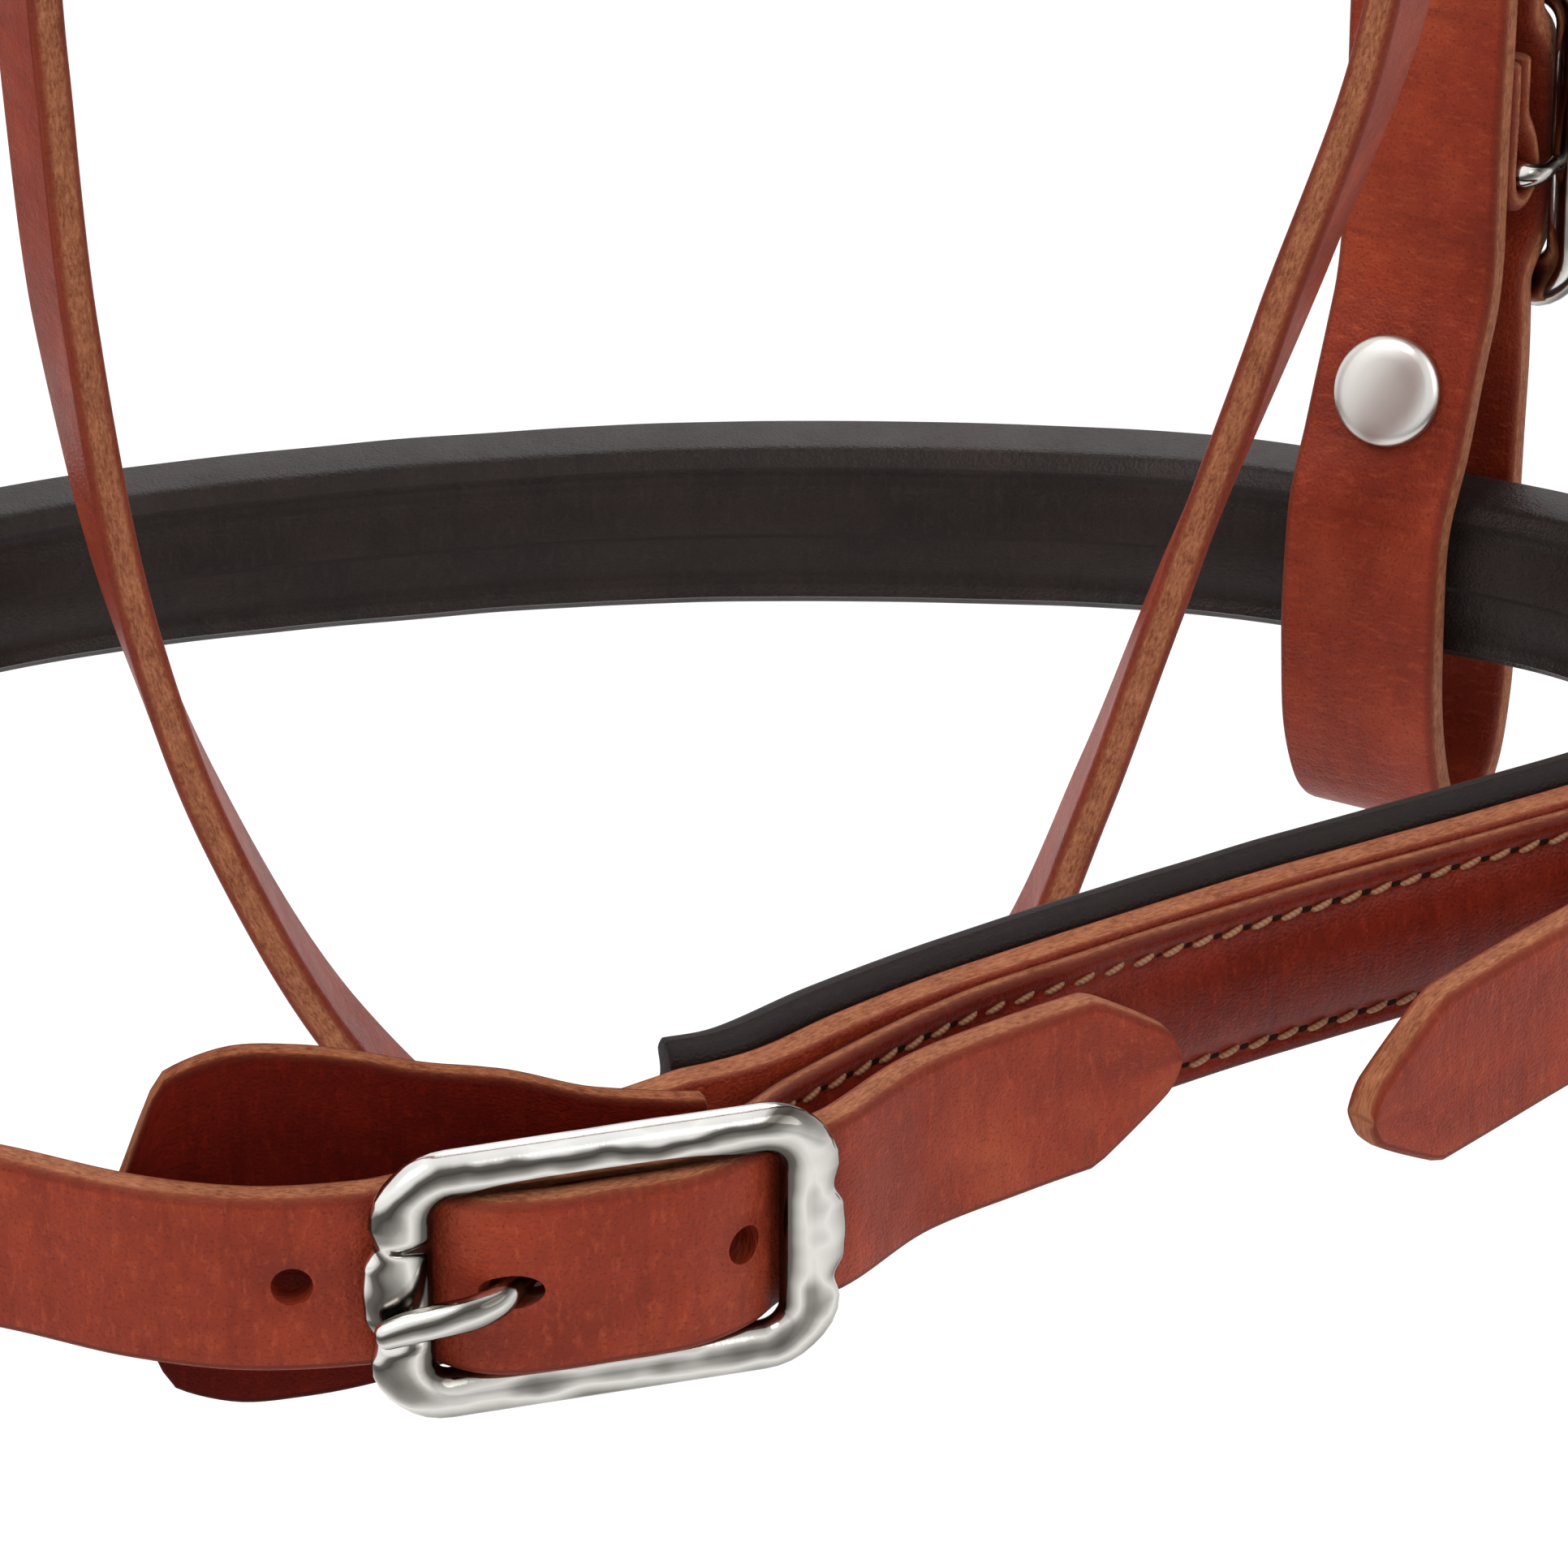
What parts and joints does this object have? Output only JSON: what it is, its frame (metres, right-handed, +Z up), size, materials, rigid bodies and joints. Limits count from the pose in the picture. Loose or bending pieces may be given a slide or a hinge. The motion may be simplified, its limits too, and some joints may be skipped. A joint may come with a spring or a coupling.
{
  "type": "headstall",
  "caption": "Leather headstall with a padded noseband, a double-buckle chin pad, a throatlatch and nickel buckles.",
  "frame": {"origin": "underside of the crown at the poll", "axes": "+Y towards the horse's nose, +Z up, +X to the horse's right seen from the front camera side"},
  "size_m": [0.2861, 0.2013, 0.508],
  "materials": {
    "chestnut_leather": "semi-gloss oiled bridle leather with raw edges",
    "black_lining_leather": "soft black lining leather",
    "polished_nickel": "polished nickel plate"
  },
  "bodies": {
    "headpiece": {"cheek_buckle_left": "polished_nickel", "cheek_buckle_right": "polished_nickel", "cheek_chape_left": "chestnut_leather", "cheek_chape_right": "chestnut_leather", "cheek_keeper_left": "chestnut_leather", "cheek_keeper_right": "chestnut_leather", "cheek_strap_left": "chestnut_leather", "cheek_strap_right": "chestnut_leather", "crown": "chestnut_leather", "loop_buckle_left": "polished_nickel", "loop_buckle_right": "polished_nickel", "loop_chape_left": "chestnut_leather", "loop_chape_right": "chestnut_leather", "loop_screw_back_left": "polished_nickel", "loop_screw_back_right": "polished_nickel", "loop_screw_left": "polished_nickel", "loop_screw_right": "polished_nickel", "throat_buckle_left": "polished_nickel", "throat_buckle_right": "polished_nickel", "throat_chape_left": "chestnut_leather", "throat_chape_right": "chestnut_leather", "throat_keeper_left": "chestnut_leather", "throat_keeper_right": "chestnut_leather", "throat_strap": "chestnut_leather"},
    "noseband": {"chin_base": "chestnut_leather", "chin_buckle_left": "polished_nickel", "chin_buckle_right": "polished_nickel", "chin_cover": "chestnut_leather", "chin_guard_left": "chestnut_leather", "chin_guard_right": "chestnut_leather", "chin_lining": "black_lining_leather", "nose_cover": "chestnut_leather", "nose_lining": "black_lining_leather", "nose_strap": "chestnut_leather"},
    "browband": {"browband": "chestnut_leather"},
    "cheek_prong_left_body": {"cheek_prong_left": "polished_nickel"},
    "cheek_prong_right_body": {"cheek_prong_right": "polished_nickel"},
    "chin_prong_left_body": {"chin_prong_left": "polished_nickel"},
    "chin_prong_right_body": {"chin_prong_right": "polished_nickel"},
    "loop_prong_left_body": {"loop_prong_left": "polished_nickel"},
    "loop_prong_right_body": {"loop_prong_right": "polished_nickel"},
    "throat_prong_left_body": {"throat_prong_left": "polished_nickel"},
    "throat_prong_right_body": {"throat_prong_right": "polished_nickel"}
  },
  "joints": [
    {"name": "noseband_tilt", "type": "hinge", "parent": "headpiece", "child": "noseband", "pos_m": [-0.00725, 0.00742, -0.43], "axis": [-0.9996, -0.0275, 0], "range_deg": [0, 4]},
    {"name": "browband_slide", "type": "slide", "parent": "headpiece", "child": "browband", "axis": [0, 0, 1], "range_m": [-0.006, 0.006]},
    {"name": "cheek_prong_left_hinge", "type": "hinge", "parent": "headpiece", "child": "cheek_prong_left_body", "pos_m": [-0.0783, 0.0102, -0.185], "axis": [0, -1, 0], "range_deg": [0, 8]},
    {"name": "cheek_prong_right_hinge", "type": "hinge", "parent": "headpiece", "child": "cheek_prong_right_body", "pos_m": [0.0783, 0.0102, -0.185], "axis": [0, 1, 0], "range_deg": [0, 8]},
    {"name": "chin_prong_left_hinge", "type": "hinge", "parent": "noseband", "child": "chin_prong_left_body", "pos_m": [-0.0199, -0.13529, -0.43], "axis": [0, 0, 1], "range_deg": [0, 8]},
    {"name": "chin_prong_right_hinge", "type": "hinge", "parent": "noseband", "child": "chin_prong_right_body", "pos_m": [0.1277, -0.0534, -0.43], "axis": [0, 0, -1], "range_deg": [0, 8]},
    {"name": "loop_prong_left_hinge", "type": "hinge", "parent": "headpiece", "child": "loop_prong_left_body", "pos_m": [-0.10164, 0.01267, -0.3855], "axis": [0.848, 0.5299, 0], "range_deg": [0, 8]},
    {"name": "loop_prong_right_hinge", "type": "hinge", "parent": "headpiece", "child": "loop_prong_right_body", "pos_m": [0.08714, 0.0176, -0.3855], "axis": [0.848, -0.5299, 0], "range_deg": [0, 8]},
    {"name": "throat_prong_left_hinge", "type": "hinge", "parent": "headpiece", "child": "throat_prong_left_body", "pos_m": [-0.0783, -0.0123, -0.252], "axis": [0, -1, 0], "range_deg": [0, 8]},
    {"name": "throat_prong_right_hinge", "type": "hinge", "parent": "headpiece", "child": "throat_prong_right_body", "pos_m": [0.0783, -0.0123, -0.252], "axis": [0, 1, 0], "range_deg": [0, 8]}
  ]
}
